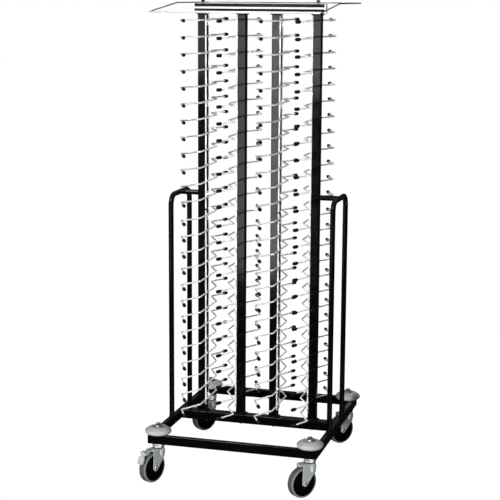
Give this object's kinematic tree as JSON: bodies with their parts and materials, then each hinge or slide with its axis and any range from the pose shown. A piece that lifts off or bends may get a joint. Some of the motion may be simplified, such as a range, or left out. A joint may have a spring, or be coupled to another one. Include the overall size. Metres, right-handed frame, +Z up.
{
  "type": "plate trolley",
  "caption": "Tall upright trolley on swivel castors with racks of zigzag wire fingers on posts that hold plates level in stacks, side handles, corner bumpers and a clear top sheet.",
  "frame": {"origin": "on the floor under the middle of the base frame", "axes": "+Z up, -Y towards the front, +X to the right seen from the front"},
  "size_m": [0.7089, 0.8114, 1.7975],
  "materials": {
    "black_coat": "gloss",
    "white_coat": "satin",
    "black_rubber": "matte",
    "grey_bumper": "satin",
    "bright_steel": "polished",
    "zinc_steel": "satin",
    "black_plastic": "satin",
    "grey_plastic": "satin",
    "grey_tread": "matte",
    "white_strip": "satin",
    "clear_plastic": "gloss"
  },
  "bodies": {
    "trolley": {"front_rail": "black_coat", "back_rail": "black_coat", "left_rail": "black_coat", "right_rail": "black_coat", "mid_rail": "black_coat", "castor_sockets": "black_coat", "post_foot_plates": "black_coat", "post_top_plates": "black_coat", "post_studs": "black_coat", "top_rail": "black_coat", "handle_left": "black_coat", "handle_right": "black_coat", "handle_brace_left": "black_coat", "handle_brace_right": "black_coat", "post_left_outer": "black_coat", "rack_wires_left_outer": "white_coat", "rack_rods_left_outer": "white_coat", "rack_tips_left_outer": "black_rubber", "post_left_inner": "black_coat", "rack_wires_left_inner": "white_coat", "rack_rods_left_inner": "white_coat", "rack_tips_left_inner": "black_rubber", "post_right_inner": "black_coat", "rack_wires_right_inner": "white_coat", "rack_rods_right_inner": "white_coat", "rack_tips_right_inner": "black_rubber", "post_right_outer": "black_coat", "rack_wires_right_outer": "white_coat", "rack_rods_right_outer": "white_coat", "rack_tips_right_outer": "black_rubber", "bumpers": "grey_bumper", "bumper_washers": "bright_steel", "castor_bolts": "bright_steel", "top_rail_caps": "white_strip", "rack_clips": "white_coat", "header_strip": "white_strip", "top_sheet": "clear_plastic", "sheet_washers": "black_plastic", "sheet_knobs": "black_plastic", "castor_heads": "bright_steel", "swivel_bearings": "zinc_steel"},
    "swivel_fork_front_left": {"castor_fork_front_left": "zinc_steel", "castor_axle_front_left": "bright_steel"},
    "wheel_front_left": {"castor_wheel_front_left": "black_plastic", "castor_tyre_front_left": "grey_tread"},
    "brake_front_left": {"brake_pedal_front_left": "grey_plastic"},
    "swivel_fork_front_right": {"castor_fork_front_right": "zinc_steel", "castor_axle_front_right": "bright_steel"},
    "wheel_front_right": {"castor_wheel_front_right": "black_plastic", "castor_tyre_front_right": "grey_tread"},
    "swivel_fork_back_left": {"castor_fork_back_left": "zinc_steel", "castor_axle_back_left": "bright_steel"},
    "wheel_back_left": {"castor_wheel_back_left": "black_plastic", "castor_tyre_back_left": "grey_tread"},
    "brake_back_left": {"brake_pedal_back_left": "grey_plastic"},
    "swivel_fork_back_right": {"castor_fork_back_right": "zinc_steel", "castor_axle_back_right": "bright_steel"},
    "wheel_back_right": {"castor_wheel_back_right": "black_plastic", "castor_tyre_back_right": "grey_tread"}
  },
  "joints": [
    {"name": "swivel_front_left", "type": "hinge", "parent": "trolley", "child": "swivel_fork_front_left", "pos_m": [-0.295, -0.331, 0.125], "axis": [0, 0, 1], "continuous": true},
    {"name": "roll_front_left", "type": "hinge", "parent": "swivel_fork_front_left", "child": "wheel_front_left", "pos_m": [-0.30964, -0.36389, 0.0575], "axis": [-0.9135, 0.4067, 0], "continuous": true},
    {"name": "press_brake_front_left", "type": "hinge", "parent": "swivel_fork_front_left", "child": "brake_front_left", "pos_m": [-0.32184, -0.39129, 0.121], "axis": [0.9135, -0.4067, 0], "range_deg": [0, 8]},
    {"name": "swivel_front_right", "type": "hinge", "parent": "trolley", "child": "swivel_fork_front_right", "pos_m": [0.295, -0.331, 0.125], "axis": [0, 0, 1], "continuous": true},
    {"name": "roll_front_right", "type": "hinge", "parent": "swivel_fork_front_right", "child": "wheel_front_right", "pos_m": [0.27234, -0.35898, 0.0575], "axis": [-0.7771, 0.6293, 0], "continuous": true},
    {"name": "swivel_back_left", "type": "hinge", "parent": "trolley", "child": "swivel_fork_back_left", "pos_m": [-0.295, 0.331, 0.125], "axis": [0, 0, 1], "continuous": true},
    {"name": "roll_back_left", "type": "hinge", "parent": "swivel_fork_back_left", "child": "wheel_back_left", "pos_m": [-0.31513, 0.30116, 0.0575], "axis": [-0.829, 0.5592, 0], "continuous": true},
    {"name": "press_brake_back_left", "type": "hinge", "parent": "swivel_fork_back_left", "child": "brake_back_left", "pos_m": [-0.33191, 0.27628, 0.121], "axis": [0.829, -0.5592, 0], "range_deg": [0, 8]},
    {"name": "swivel_back_right", "type": "hinge", "parent": "trolley", "child": "swivel_fork_back_right", "pos_m": [0.295, 0.331, 0.125], "axis": [0, 0, 1], "continuous": true},
    {"name": "roll_back_right", "type": "hinge", "parent": "swivel_fork_back_right", "child": "wheel_back_right", "pos_m": [0.27186, 0.30342, 0.0575], "axis": [-0.766, 0.6428, 0], "continuous": true}
  ]
}
